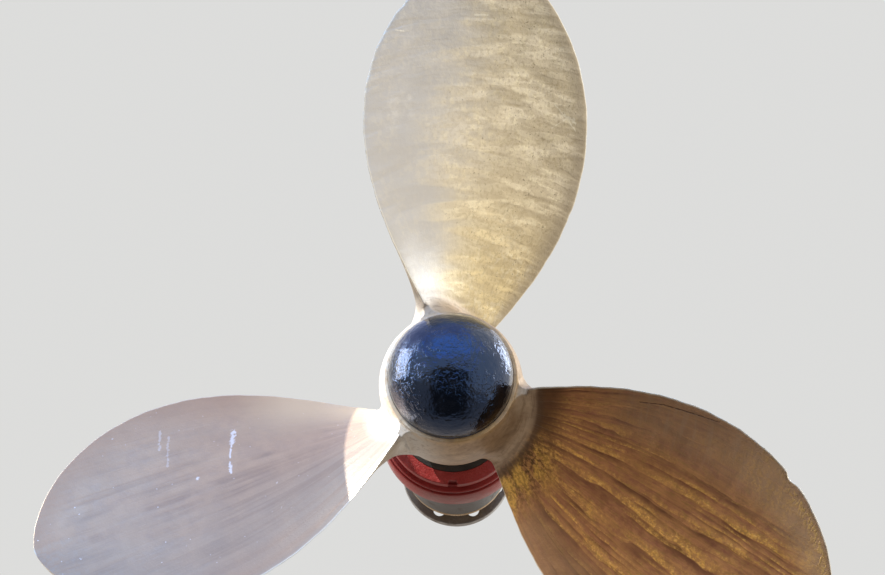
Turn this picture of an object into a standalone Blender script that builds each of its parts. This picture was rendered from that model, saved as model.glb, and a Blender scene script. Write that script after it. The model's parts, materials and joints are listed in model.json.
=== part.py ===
"""A ship's three-bladed bronze propeller on its tail shaft, with the stern boss and stern tube that carry it.

Metres, +Z up, +Y ahead, +X to starboard. The origin lies on the flat forward face of the stern boss,
straight below the shaft line, where the boss meets the stern post.
"""

from math import atan, cos, pi, radians, sin, sqrt

import bmesh
import bpy
from mathutils import Matrix, Vector

# Blades: a right-handed screw. Rake leans them aft, skew sweeps them round the shaft.
PROPELLER_RADIUS = 1.75
PITCH_LENGTH = 4.20
BLADE_COUNT = 3
TOP_BLADE_LEAN = radians(3.2)  # clockwise from upright, seen from aft
WIDEST_CHORD_LENGTH = 1.075
WIDEST_CHORD_RADIUS = 1.05
ROOT_CHORD_LENGTH = 0.59
ROOT_RADIUS = 0.30
TIP_SKEW_LENGTH = 0.084
TIP_RAKE_LENGTH = 0.265
TIP_CURL_LENGTH = 0.071
ROOT_THICKNESS = 0.135
TIP_THICKNESS = 0.016
EDGE_THICKNESS = 0.010
ROOT_FILLET_RADIUS = 0.085
EDGE_FILLET_RADIUS = 0.036
ROOT_TUCK_LENGTH = 0.042

# How full the blade's outline is: towards the tip, at the tip itself, and towards the root
TIP_TAPER_POWER = 2.2
TIP_ROUND_POWER = 0.65
ROOT_TAPER_POWER = 1.75

# Propeller boss, measured along the shaft from the plane of the blades
BOSS_AFT_LENGTH = 0.245
BOSS_FORWARD_LENGTH = 0.450
BOSS_WIDEST_OFFSET = 0.075
BOSS_SWELL = 0.0255  # of its widest radius over that of its aft face
BOSS_NARROWING = 0.083  # of its forward end's radius under its widest
BOSS_EDGE_ROUND = 0.006
TAPER = 1 / 12

# Cap over the propeller nut
CAP_RADIUS = 0.249
CAP_HEIGHT = 0.228
CAP_SKIRT_LENGTH = 0.014
CAP_WALL = 0.022
CAP_JOINT_THICKNESS = 0.003
CAP_JOINT_INSET = 0.002
CAP_LIP_WIDTH = 0.0135  # of the boss's aft face, outside the cap

# Tail shaft and what is on it
SHAFT_RADIUS = 0.140
LINER_THICKNESS = 0.016
SEAL_WIDTH = 0.026
SEAL_RECESS_DEPTH = 0.030
SEAL_COVER_LENGTH = 0.018  # of the liner, under the seal
SEAL_SET_BACK = 0.004
THREAD_STEP = 0.018
THREAD_LENGTH = 0.150
THREAD_CHAMFER = 0.008
KEY_WIDTH = 0.070
KEY_LENGTH = 0.460
KEY_DEPTH_IN_SHAFT = 0.026
KEY_HEIGHT = 0.053
NUT_WALL = 0.064
NUT_THICKNESS = 0.120
NUT_RECESS_DEPTH = 0.045
NUT_RECESS_CLEARANCE = 0.020
STOPPER_WIDTH = 0.060
STOPPER_HEIGHT = 0.034
STOPPER_THICKNESS = 0.022
BARE_SHAFT_LENGTH = 0.050
LINER_SHOW_LENGTH = 0.060
COUPLING_RADIUS = 0.250
COUPLING_THICKNESS = 0.070
COUPLING_FILLET = 0.016
COUPLING_BOLTS = 8
COUPLING_BOLT_RADIUS = 0.028
COUPLING_BOLT_EDGE = 0.022  # of the flange, outside its bolt holes

# Bearings, from the liner outwards
STAVE_THICKNESS = 0.0237
STAVE_LENGTH = 0.480
WATER_GROOVES = 12
WATER_GROOVE_WIDTH = 0.012
WATER_GROOVE_DEPTH = 0.010
BUSH_THICKNESS = 0.0187
FORWARD_BUSH_LENGTH = 0.220
CHECK_RING_THICKNESS = 0.020
PACKING_RINGS = 4
PACKING_LENGTH = 0.024

# Stern tube and its gland
TUBE_WALL = 0.035
TUBE_LENGTH_AHEAD = 0.700
COLLAR_STEP = 0.022
COLLAR_LENGTH = 0.040
TUBE_NUT_WALL = 0.053
TUBE_NUT_THICKNESS = 0.060
TUBE_NUT_SLOTS = 6
TUBE_NUT_SLOT_WIDTH = 0.040
TUBE_NUT_SLOT_DEPTH = 0.020
GLAND_INSET = 0.003
GLAND_FLANGE_THICKNESS = 0.036
GLAND_NOSE_LENGTH = 0.030
GLAND_STANDOFF = 0.020

# Stern boss
STERN_BOSS_WALL = 0.058
STERN_BOSS_LENGTH = 0.250
STERN_BOSS_CHAMFER = 0.004
SPIGOT_STEP = 0.036  # of the boss's radius over that of its aft end
SPIGOT_LENGTH = 0.027
BAND_STEP = 0.010
BAND_LENGTH = 0.024
GROOVE_DEPTH = 0.020
GROOVE_WIDTH = 0.010

# Clearances
TOUCHING = 0.0003
RUNNING = 0.001
CLEAR_OF_SHAFT = 0.004
STERN_GAP = 0.055
CUTTER_SPARE = 0.020

# Fineness of the mesh
ROUND_STEPS = 40
HOLE_STEPS = 16
CHORD_STEPS = 14
FILLET_STEPS = 6
BLADE_STEPS = 17
BOSS_STEPS = 18
CAP_STEPS = 10

# Radii, each built on the one inside it
liner_radius = SHAFT_RADIUS + LINER_THICKNESS
bearing_radius = liner_radius + RUNNING
gland_bore = liner_radius + CLEAR_OF_SHAFT
stave_radius = bearing_radius + STAVE_THICKNESS
bush_bore = stave_radius + TOUCHING
bush_radius = bush_bore + BUSH_THICKNESS
tube_bore = bush_radius + TOUCHING
tube_radius = tube_bore + TUBE_WALL
collar_radius = tube_radius + COLLAR_STEP
tube_nut_radius = tube_radius + TUBE_NUT_WALL
stern_boss_radius = collar_radius + STERN_BOSS_WALL
spigot_radius = stern_boss_radius - SPIGOT_STEP
band_radius = stern_boss_radius - BAND_STEP
coupling_pitch_radius = COUPLING_RADIUS - COUPLING_BOLT_EDGE - COUPLING_BOLT_RADIUS
boss_aft_radius = CAP_RADIUS + CAP_LIP_WIDTH
boss_widest_radius = boss_aft_radius + BOSS_SWELL
boss_forward_radius = boss_widest_radius - BOSS_NARROWING
seal_recess_radius = liner_radius + SEAL_WIDTH

# Places along the shaft, from the stern post aft
stern_boss_aft = -STERN_BOSS_LENGTH
band_aft = stern_boss_aft + SPIGOT_LENGTH
groove_aft = band_aft + BAND_LENGTH
groove_forward = groove_aft + GROOVE_WIDTH
tube_aft = stern_boss_aft - TUBE_NUT_THICKNESS
boss_forward_face = tube_aft - STERN_GAP
seal_seat = boss_forward_face - SEAL_RECESS_DEPTH
blade_plane = boss_forward_face - BOSS_FORWARD_LENGTH
boss_aft_face = blade_plane - BOSS_AFT_LENGTH
nut_seat = boss_aft_face + NUT_RECESS_DEPTH
nut_forward = nut_seat - TOUCHING
thread_aft = nut_seat - THREAD_LENGTH
key_middle = (seal_seat + nut_seat) / 2

# Places along the shaft, from the stern post forward
tube_forward = TUBE_LENGTH_AHEAD
packing_forward = tube_forward - GLAND_NOSE_LENGTH
packing_aft = packing_forward - PACKING_RINGS * PACKING_LENGTH
gland_flange_aft = tube_forward + GLAND_STANDOFF
gland_forward = gland_flange_aft + GLAND_FLANGE_THICKNESS
liner_forward = gland_forward + LINER_SHOW_LENGTH
coupling_aft = liner_forward + BARE_SHAFT_LENGTH
coupling_forward = coupling_aft + COUPLING_THICKNESS
stave_aft = tube_aft + CHECK_RING_THICKNESS + TOUCHING


def taper_radius(along):
    """Radius of the shaft's taper, which starts at the seal's seat and narrows going aft."""
    return SHAFT_RADIUS - (seal_seat - along) * TAPER / 2


# Radii that follow the taper, and the height of the shaft line over the origin
thread_radius = taper_radius(nut_seat) - THREAD_STEP
nut_corner_radius = thread_radius + NUT_WALL
nut_flat_radius = nut_corner_radius * cos(pi / 6)
nut_recess_radius = nut_corner_radius + NUT_RECESS_CLEARANCE
key_inner_radius = taper_radius(key_middle) - KEY_DEPTH_IN_SHAFT
key_outer_radius = key_inner_radius + KEY_HEIGHT
shaft_height = (collar_radius + stern_boss_radius) / 2


def clear_scene():
    for old in list(bpy.data.objects):
        bpy.data.objects.remove(old, do_unlink=True)


def collection(name):
    made = bpy.data.collections.new(name)
    bpy.context.scene.collection.children.link(made)
    return made


def material(name, colour, roughness, metallic):
    made = bpy.data.materials.new(name)
    made.use_nodes = True
    shader = made.node_tree.nodes["Principled BSDF"]
    shader.inputs["Base Color"].default_value = (*colour, 1)
    shader.inputs["Roughness"].default_value = roughness
    shader.inputs["Metallic"].default_value = metallic
    made.diffuse_color = (*colour, 1)
    return made


def shaft_line_empty(name):
    """An empty on the shaft line; what is parented to it has its own origin on that line."""
    made = bpy.data.objects.new(name, None)
    made.location = (0, 0, shaft_height)
    parts.objects.link(made)
    return made


def mesh_object(name, bm, finish, parent):
    """Makes a part from a bmesh or, where it has no finish, a hidden cutter or helper."""
    mesh = bpy.data.meshes.new(name)
    bm.to_mesh(mesh)
    bm.free()
    mesh.shade_smooth()
    mesh.set_sharp_from_angle(angle=radians(35))
    made = bpy.data.objects.new(name, mesh)
    made.parent = parent
    if finish:
        mesh.materials.append(finish)
        parts.objects.link(made)
    else:
        made.hide_render = True
        made.display_type = "WIRE"
        cutters.objects.link(made)
    return made


def turned(name, profile, finish, parent):
    """A turned piece: its outline of (radius, place along the shaft) swept round the shaft line.

    The outline runs aft along the outside and comes back along the bore. One that starts and ends
    at radius 0 makes a piece with no bore.
    """
    bm = bmesh.new()
    points = [bm.verts.new((radius, along, 0)) for radius, along in profile]
    for one, next_one in zip(points, points[1:]):
        bm.edges.new((one, next_one))
    if profile[0][0] > 0:
        bm.edges.new((points[-1], points[0]))
    made = mesh_object(name, bm, finish, parent)
    screw = made.modifiers.new("Turn", "SCREW")
    screw.axis = "Y"
    screw.steps = ROUND_STEPS
    screw.render_steps = ROUND_STEPS
    screw.use_merge_vertices = True
    screw.merge_threshold = 0.00001
    return made


def ring(name, inner, outer, aft, forward, finish, parent):
    outline = [(outer, forward), (outer, aft), (inner, aft), (inner, forward)]
    return turned(name, outline, finish, parent)


def block(name, size, centre, turn, finish, parent):
    """A rectangular block, turned round the shaft line. Size and centre are across, along and outwards."""
    bm = bmesh.new()
    bmesh.ops.create_cube(bm, size=1)
    bmesh.ops.scale(bm, vec=size, verts=bm.verts)
    bmesh.ops.translate(bm, vec=centre, verts=bm.verts)
    bmesh.ops.rotate(bm, cent=(0, 0, 0), matrix=Matrix.Rotation(turn, 3, "Y"), verts=bm.verts)
    return mesh_object(name, bm, finish, parent)


def rod(name, radius, aft, forward, outwards, turn, sides, finish, parent):
    """A rod parallel to the shaft, so far outwards from the shaft line and turned round it."""
    bm = bmesh.new()
    bmesh.ops.create_cone(
        bm, cap_ends=True, segments=sides, radius1=radius, radius2=radius, depth=forward - aft
    )
    bmesh.ops.rotate(bm, cent=(0, 0, 0), matrix=Matrix.Rotation(-pi / 2, 3, "X"), verts=bm.verts)
    bmesh.ops.translate(bm, vec=(0, (aft + forward) / 2, outwards), verts=bm.verts)
    bmesh.ops.rotate(bm, cent=(0, 0, 0), matrix=Matrix.Rotation(turn, 3, "Y"), verts=bm.verts)
    return mesh_object(name, bm, finish, parent)


def boolean(obj, other, operation):
    step = obj.modifiers.new(other.name, "BOOLEAN")
    step.operation = operation
    step.object = other
    step.solver = "EXACT"


def chord(radius):
    """Blade width, measured along the screw surface, at a distance from the shaft line."""
    if radius > WIDEST_CHORD_RADIUS:
        share = (radius - WIDEST_CHORD_RADIUS) / (PROPELLER_RADIUS - WIDEST_CHORD_RADIUS)
        return WIDEST_CHORD_LENGTH * (1 - share**TIP_TAPER_POWER) ** TIP_ROUND_POWER
    share = min((WIDEST_CHORD_RADIUS - radius) / (WIDEST_CHORD_RADIUS - ROOT_RADIUS), 1)
    return WIDEST_CHORD_LENGTH - (WIDEST_CHORD_LENGTH - ROOT_CHORD_LENGTH) * share**ROOT_TAPER_POWER


def boss_radius(along):
    """Outer radius of the propeller boss, a barrel, at a distance ahead of the blade plane."""
    if along < -BOSS_WIDEST_OFFSET:
        share = (along + BOSS_WIDEST_OFFSET) / (BOSS_AFT_LENGTH - BOSS_WIDEST_OFFSET)
        return boss_widest_radius - BOSS_SWELL * share**2
    share = (along + BOSS_WIDEST_OFFSET) / (BOSS_FORWARD_LENGTH + BOSS_WIDEST_OFFSET)
    return boss_widest_radius - BOSS_NARROWING * share**2


def fillet_reach(height, fillet):
    """How far a round fillet stands out from the blade, at a height above the boss."""
    rest = fillet - min(max(height, 0), fillet)
    return fillet - sqrt(fillet**2 - rest**2)


def blade_section(radius):
    """The blade's section on the cylinder of this radius, for a blade that points along +X.

    The face, which looks aft, follows the screw surface, and the back bulges ahead of it. Near the
    boss the section grows into the root fillet, and its trailing edge tucks in at the boss's rim.
    """
    span = (radius - ROOT_RADIUS) / (PROPELLER_RADIUS - ROOT_RADIUS)
    slope = atan(PITCH_LENGTH / (2 * pi * radius))
    skew = TIP_SKEW_LENGTH * max(span, 0)
    rake = TIP_RAKE_LENGTH * span + TIP_CURL_LENGTH * span**2
    thickness = ROOT_THICKNESS + (TIP_THICKNESS - ROOT_THICKNESS) * max(span, 0)
    half = chord(radius) / 2
    edge = min(EDGE_THICKNESS, half / 2)
    height = radius - boss_widest_radius
    flare = fillet_reach(height, ROOT_FILLET_RADIUS)
    rim_share = min(max(radius - boss_aft_radius, 0) / EDGE_FILLET_RADIUS, 1)
    leading_reach = half + fillet_reach(height, EDGE_FILLET_RADIUS)
    trailing_reach = half - ROOT_TUCK_LENGTH * (1 - rim_share) ** 2

    across = [-cos(pi * step / CHORD_STEPS) for step in range(CHORD_STEPS + 1)]
    face = [(share, -flare * (1 - share**4)) for share in across]
    back = [
        (share, edge + flare * (1 - share**4) + (thickness - edge) * (1 - share**2))
        for share in reversed(across)
    ]
    points = []
    for share, lift in face + back:
        along_chord = share * (leading_reach if share > 0 else trailing_reach) + skew
        round_shaft = along_chord * cos(slope) - lift * sin(slope)
        along_shaft = along_chord * sin(slope) + lift * cos(slope) - rake
        turn = -round_shaft / radius
        points.append(Vector((radius * cos(turn), blade_plane + along_shaft, radius * sin(turn))))
    return points


def blade_radii():
    """Radii of the blade's sections: two inside the boss's wall, then the fillet, then out to the tip."""
    fillet_top = boss_widest_radius + ROOT_FILLET_RADIUS
    radii = [(nut_recess_radius + boss_forward_radius) / 2, boss_aft_radius]
    for step in range(FILLET_STEPS):
        radii.append(boss_widest_radius + ROOT_FILLET_RADIUS * (step / FILLET_STEPS) ** 1.5)
    for step in range(BLADE_STEPS):
        radii.append(fillet_top + (PROPELLER_RADIUS - fillet_top) * sin(pi / 2 * step / BLADE_STEPS))
    radii.append(PROPELLER_RADIUS - EDGE_THICKNESS / 10)
    return radii


def make_blade(name, turn):
    """One blade, lofted through its sections and turned round the shaft line to its place."""
    bm = bmesh.new()
    rings = []
    for radius in blade_radii():
        rings.append([bm.verts.new(point) for point in blade_section(radius)])
    for lower, upper in zip(rings, rings[1:]):
        for i, corner in enumerate(lower):
            j = (i + 1) % len(lower)
            bm.faces.new((corner, lower[j], upper[j], upper[i]))
    bm.faces.new(rings[0][::-1])
    bm.faces.new(rings[-1])
    bmesh.ops.recalc_face_normals(bm, faces=bm.faces)
    bmesh.ops.triangulate(bm, faces=[face for face in bm.faces if len(face.verts) > 4])
    bmesh.ops.rotate(bm, cent=(0, 0, 0), matrix=Matrix.Rotation(-turn, 3, "Y"), verts=bm.verts)
    return mesh_object(name, bm, None, rotor)


def make_keyway(name, inner, outer):
    """The room for the key: a block from one distance from the shaft line to another."""
    size = (KEY_WIDTH + 2 * TOUCHING, KEY_LENGTH + 2 * TOUCHING, outer - inner)
    return block(name, size, (0, key_middle, (inner + outer) / 2), TOP_BLADE_LEAN, None, rotor)


def make_casting():
    """Boss and blades in one: a barrel with a taper bore and recesses for the nut and the seal."""
    outline = [(boss_radius(BOSS_FORWARD_LENGTH) - BOSS_EDGE_ROUND, boss_forward_face)]
    length = BOSS_FORWARD_LENGTH + BOSS_AFT_LENGTH - 2 * BOSS_EDGE_ROUND
    for step in range(BOSS_STEPS + 1):
        along = BOSS_FORWARD_LENGTH - BOSS_EDGE_ROUND - length * step / BOSS_STEPS
        outline.append((boss_radius(along), blade_plane + along))
    outline += [
        (boss_aft_radius - BOSS_EDGE_ROUND, boss_aft_face),
        (nut_recess_radius, boss_aft_face),
        (nut_recess_radius, nut_seat),
        (taper_radius(nut_seat) + TOUCHING, nut_seat),
        (SHAFT_RADIUS + TOUCHING, seal_seat),
        (seal_recess_radius, seal_seat),
        (seal_recess_radius, boss_forward_face),
    ]
    casting = turned("propeller_casting", outline, bronze, rotor)
    for number in range(BLADE_COUNT):
        turn = pi / 2 - TOP_BLADE_LEAN - number * 2 * pi / BLADE_COUNT
        boolean(casting, make_blade(f"blade_{number + 1}", turn), "UNION")
    boolean(casting, make_keyway("boss_keyway", 0, key_outer_radius + TOUCHING), "DIFFERENCE")


def make_cap():
    """The rounded hollow cap: a short straight skirt, then half an ellipse, and the joint ring under its rim."""
    rim = boss_aft_face - CAP_JOINT_THICKNESS - TOUCHING
    bore = CAP_RADIUS - CAP_WALL
    outside = [(CAP_RADIUS, rim)]
    inside = [(bore, rim)]
    for step in range(CAP_STEPS + 1):
        angle = pi / 2 * step / CAP_STEPS
        round_height = CAP_HEIGHT - CAP_SKIRT_LENGTH
        narrowing = cos(angle) if step < CAP_STEPS else 0
        skirt_end = rim - CAP_SKIRT_LENGTH
        outside.append((CAP_RADIUS * narrowing, skirt_end - round_height * sin(angle)))
        inside.append((bore * narrowing, skirt_end - (round_height - CAP_WALL) * sin(angle)))
    turned("cap", inside[::-1] + outside, enamel, rotor)
    joint_aft = rim + TOUCHING
    joint_forward = boss_aft_face - TOUCHING
    ring("cap_joint_ring", bore, CAP_RADIUS - CAP_JOINT_INSET, joint_aft, joint_forward, rubber, rotor)


def make_shaft():
    """The tail shaft: thread, taper, journal and coupling flange, with its key, liner and seal ring."""
    outline = [
        (0, coupling_forward),
        (COUPLING_RADIUS, coupling_forward),
        (COUPLING_RADIUS, coupling_aft),
        (SHAFT_RADIUS + COUPLING_FILLET, coupling_aft),
        (SHAFT_RADIUS, coupling_aft - COUPLING_FILLET),
        (SHAFT_RADIUS, seal_seat),
        (taper_radius(nut_seat), nut_seat),
        (thread_radius, nut_seat),
        (thread_radius, thread_aft + THREAD_CHAMFER),
        (thread_radius - THREAD_CHAMFER, thread_aft),
        (0, thread_aft),
    ]
    shaft = turned("tail_shaft", outline, steel, rotor)
    for number in range(COUPLING_BOLTS):
        hole = rod(
            f"coupling_hole_{number + 1}",
            COUPLING_BOLT_RADIUS,
            coupling_aft - CUTTER_SPARE,
            coupling_forward + CUTTER_SPARE,
            coupling_pitch_radius,
            2 * pi * (number + 0.5) / COUPLING_BOLTS,
            HOLE_STEPS,
            None,
            rotor,
        )
        boolean(shaft, hole, "DIFFERENCE")
    keyseat = make_keyway("shaft_keyseat", key_inner_radius - TOUCHING, key_outer_radius + CUTTER_SPARE)
    boolean(shaft, keyseat, "DIFFERENCE")
    key_place = (0, key_middle, (key_inner_radius + key_outer_radius) / 2)
    block("shaft_key", (KEY_WIDTH, KEY_LENGTH, KEY_HEIGHT), key_place, TOP_BLADE_LEAN, steel, rotor)
    liner_bore = SHAFT_RADIUS + TOUCHING
    liner_aft = boss_forward_face - SEAL_COVER_LENGTH
    ring("shaft_liner", liner_bore, liner_radius, liner_aft, liner_forward, machined_bronze, rotor)
    ring(
        "shaft_seal_ring",
        liner_radius + TOUCHING,
        seal_recess_radius - TOUCHING,
        seal_seat + TOUCHING,
        boss_forward_face - SEAL_SET_BACK,
        rubber,
        rotor,
    )


def make_nut():
    """The six-sided propeller nut in its recess, and the stopper that keeps it from turning."""
    nut_aft = nut_forward - NUT_THICKNESS
    nut = rod(
        "propeller_nut",
        nut_corner_radius,
        nut_aft,
        nut_forward,
        0,
        TOP_BLADE_LEAN,
        6,
        machined_bronze,
        rotor,
    )
    bore = rod(
        "nut_bore",
        thread_radius + 2 * TOUCHING,
        nut_aft - CUTTER_SPARE,
        nut_forward + CUTTER_SPARE,
        0,
        0,
        ROUND_STEPS,
        None,
        rotor,
    )
    boolean(nut, bore, "DIFFERENCE")
    stopper_place = (
        0,
        nut_forward - STOPPER_THICKNESS / 2,
        nut_flat_radius + TOUCHING + STOPPER_HEIGHT / 2,
    )
    stopper_size = (STOPPER_WIDTH, STOPPER_THICKNESS, STOPPER_HEIGHT)
    block("nut_stopper", stopper_size, stopper_place, TOP_BLADE_LEAN + pi / 2, steel, rotor)


def make_stern_boss():
    """The red boss round the tube: spigot, band and groove aft, a seat for the tube's collar forward."""
    outline = [
        (stern_boss_radius, 0),
        (stern_boss_radius, groove_forward),
        (stern_boss_radius - GROOVE_DEPTH, groove_forward),
        (stern_boss_radius - GROOVE_DEPTH, groove_aft),
        (band_radius, groove_aft),
        (band_radius, band_aft + STERN_BOSS_CHAMFER),
        (band_radius - STERN_BOSS_CHAMFER, band_aft),
        (spigot_radius, band_aft),
        (spigot_radius, stern_boss_aft),
        (tube_radius + TOUCHING, stern_boss_aft),
        (tube_radius + TOUCHING, -COLLAR_LENGTH),
        (collar_radius + TOUCHING, -COLLAR_LENGTH),
        (collar_radius + TOUCHING, 0),
    ]
    turned("stern_boss", outline, red_paint, stern)


def make_tube():
    """The stern tube, held in the boss between its collar and its slotted ring nut."""
    outline = [
        (tube_radius, tube_forward),
        (tube_radius, 0),
        (collar_radius, 0),
        (collar_radius, -COLLAR_LENGTH + TOUCHING),
        (tube_radius, -COLLAR_LENGTH + TOUCHING),
        (tube_radius, tube_aft),
        (tube_bore, tube_aft),
        (tube_bore, tube_forward),
    ]
    turned("stern_tube", outline, iron, stern)
    nut = ring(
        "stern_tube_nut",
        tube_radius + TOUCHING,
        tube_nut_radius,
        tube_aft,
        stern_boss_aft - TOUCHING,
        red_paint,
        stern,
    )
    slot_size = (TUBE_NUT_SLOT_WIDTH, 2 * TUBE_NUT_THICKNESS, 2 * TUBE_NUT_SLOT_DEPTH)
    for number in range(TUBE_NUT_SLOTS):
        turn = 2 * pi * number / TUBE_NUT_SLOTS
        place = (0, tube_aft + TUBE_NUT_THICKNESS / 2, tube_nut_radius)
        slot = block(f"tube_nut_slot_{number + 1}", slot_size, place, turn, None, stern)
        boolean(nut, slot, "DIFFERENCE")


def make_bearings():
    """What the liner runs in: grooved hardwood staves in a bush aft, a plain bush forward, a ring at the mouth."""
    stave_forward = stave_aft + STAVE_LENGTH
    stave_middle = (stave_aft + stave_forward) / 2
    ring("aft_bearing_bush", bush_bore, bush_radius, stave_aft, stave_forward, machined_bronze, stern)
    staves = ring(
        "bearing_staves", bearing_radius, stave_radius, stave_aft, stave_forward, hardwood, stern
    )
    groove_size = (WATER_GROOVE_WIDTH, STAVE_LENGTH + 2 * CUTTER_SPARE, 2 * WATER_GROOVE_DEPTH)
    for number in range(WATER_GROOVES):
        turn = 2 * pi * number / WATER_GROOVES
        place = (0, stave_middle, bearing_radius)
        groove = block(f"water_groove_{number + 1}", groove_size, place, turn, None, stern)
        boolean(staves, groove, "DIFFERENCE")
    check_ring_forward = tube_aft + CHECK_RING_THICKNESS
    ring(
        "stave_check_ring", gland_bore, bush_radius, tube_aft, check_ring_forward, machined_bronze, stern
    )
    bush_aft = packing_aft - FORWARD_BUSH_LENGTH
    ring(
        "forward_bearing_bush",
        bearing_radius,
        bush_radius,
        bush_aft,
        packing_aft,
        machined_bronze,
        stern,
    )


def make_gland():
    """The stuffing box at the tube's forward end: rings of packing, pressed by a flanged gland."""
    for number in range(PACKING_RINGS):
        aft = packing_aft + number * PACKING_LENGTH + TOUCHING
        forward = packing_aft + (number + 1) * PACKING_LENGTH
        ring(f"packing_ring_{number + 1}", bearing_radius, bush_radius, aft, forward, hemp, stern)
    outline = [
        (tube_radius - GLAND_INSET, gland_forward),
        (tube_radius - GLAND_INSET, gland_flange_aft),
        (bush_radius, gland_flange_aft),
        (bush_radius, packing_forward + TOUCHING),
        (gland_bore, packing_forward + TOUCHING),
        (gland_bore, gland_forward),
    ]
    turned("packing_gland", outline, machined_bronze, stern)


clear_scene()
parts = collection("ship_propeller")
cutters = collection("ship_propeller_cutters")
bronze = material("cast bronze", (0.42, 0.30, 0.16), 0.42, 0.85)
machined_bronze = material("turned bronze", (0.62, 0.44, 0.22), 0.30, 0.95)
enamel = material("black enamel", (0.012, 0.012, 0.014), 0.22, 0.0)
red_paint = material("red bottom paint", (0.36, 0.075, 0.045), 0.62, 0.0)
steel = material("forged steel", (0.33, 0.33, 0.34), 0.38, 0.95)
iron = material("cast iron", (0.16, 0.15, 0.15), 0.62, 0.7)
hardwood = material("lignum vitae", (0.13, 0.09, 0.045), 0.55, 0.0)
rubber = material("black rubber", (0.02, 0.02, 0.02), 0.7, 0.0)
hemp = material("greased hemp", (0.32, 0.25, 0.14), 0.8, 0.0)

stern = shaft_line_empty("stern")
rotor = shaft_line_empty("propeller_spin")

make_casting()
make_cap()
make_shaft()
make_nut()
make_stern_boss()
make_tube()
make_bearings()
make_gland()
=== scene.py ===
"""A ship's three-bladed bronze propeller with its tail shaft, stern boss and stern tube, ready to render.

Metres, +Z up, +Y ahead, +X to starboard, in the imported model's own frame.
"""

import json
from functools import reduce
from math import cos, pi, radians, sin, tau

import bmesh
import bpy
import numpy as np
from mathutils import Matrix, Quaternion, Vector

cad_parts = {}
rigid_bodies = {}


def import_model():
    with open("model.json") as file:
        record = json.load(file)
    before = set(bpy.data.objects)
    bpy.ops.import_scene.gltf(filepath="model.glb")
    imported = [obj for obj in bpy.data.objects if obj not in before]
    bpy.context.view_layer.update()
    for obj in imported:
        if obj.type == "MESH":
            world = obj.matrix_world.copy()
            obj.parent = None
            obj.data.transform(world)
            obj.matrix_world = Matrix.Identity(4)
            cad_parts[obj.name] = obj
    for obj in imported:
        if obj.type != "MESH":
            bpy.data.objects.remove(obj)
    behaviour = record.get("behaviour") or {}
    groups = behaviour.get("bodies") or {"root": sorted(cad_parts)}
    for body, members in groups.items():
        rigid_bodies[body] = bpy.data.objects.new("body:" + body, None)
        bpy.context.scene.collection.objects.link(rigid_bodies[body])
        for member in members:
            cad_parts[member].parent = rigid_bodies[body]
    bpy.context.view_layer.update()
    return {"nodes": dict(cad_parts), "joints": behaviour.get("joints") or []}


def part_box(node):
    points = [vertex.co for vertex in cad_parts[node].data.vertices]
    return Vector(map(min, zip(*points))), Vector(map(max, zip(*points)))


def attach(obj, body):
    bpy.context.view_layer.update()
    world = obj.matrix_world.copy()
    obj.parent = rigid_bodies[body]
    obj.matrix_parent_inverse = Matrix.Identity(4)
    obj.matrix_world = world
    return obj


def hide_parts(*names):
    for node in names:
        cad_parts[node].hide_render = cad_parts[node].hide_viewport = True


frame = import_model()
nodes = frame["nodes"]
shaft_line = Vector(frame["joints"][0]["pos_m"])
shaft_height = shaft_line.z
blade_plane = shaft_line.y


# The propeller: boss and three blades cast in one piece of manganese bronze in a loam mould, the working
# faces then chipped and ground by hand. It grips the shaft's taper by its bored boss.
PROPELLER_RADIUS = 1.75
PITCH = 4.2
BLADES = 3
TOP_BLADE_LEAN = radians(3.2)
WIDEST_CHORD = 1.075
WIDEST_CHORD_RADIUS = 1.05
ROOT_CHORD = 0.59
ROOT_RADIUS = 0.3
TIP_ROUNDNESS = 2.2
TIP_FULLNESS = 0.65
ROOT_TAPER = 1.75
TIP_SKEW = 0.084
TIP_RAKE = 0.265
TIP_CURL = 0.071
ROOT_THICKNESS = 0.135
TIP_THICKNESS = 0.016
EDGE_THICKNESS = 0.01
ROOT_FILLET = 0.085
ROOT_TUCK = 0.042
BOSS_AFT_LENGTH = 0.245
BOSS_FORWARD_LENGTH = 0.45
BOSS_WIDEST_OFFSET = 0.075
BOSS_AFT_RADIUS = 0.2625
BOSS_SWELL = 0.0255
BOSS_NARROWING = 0.083
BOSS_EDGE_ROUND = 0.006
NUT_RECESS_RADIUS = 0.18
NUT_RECESS_DEPTH = 0.045
SEAL_RECESS_RADIUS = 0.182
SEAL_RECESS_DEPTH = 0.03
RECESS_BEVEL = 0.0015
BORE_AFT_RADIUS = 0.1145
BORE_FORWARD_RADIUS = 0.1403

boss_widest_radius = BOSS_AFT_RADIUS + BOSS_SWELL
skin_aft = BOSS_EDGE_ROUND - BOSS_AFT_LENGTH
skin_forward = BOSS_FORWARD_LENGTH - BOSS_EDGE_ROUND


def boss_surface(along):
    """The barrel's outer radius at a distance ahead of the blade plane."""
    aft_share = (along + BOSS_WIDEST_OFFSET) / (BOSS_AFT_LENGTH - BOSS_WIDEST_OFFSET)
    forward_share = (along + BOSS_WIDEST_OFFSET) / (BOSS_FORWARD_LENGTH + BOSS_WIDEST_OFFSET)
    aft = boss_widest_radius - BOSS_SWELL * aft_share**2
    forward = boss_widest_radius - BOSS_NARROWING * forward_share**2
    return np.where(along < -BOSS_WIDEST_OFFSET, aft, forward)


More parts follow.
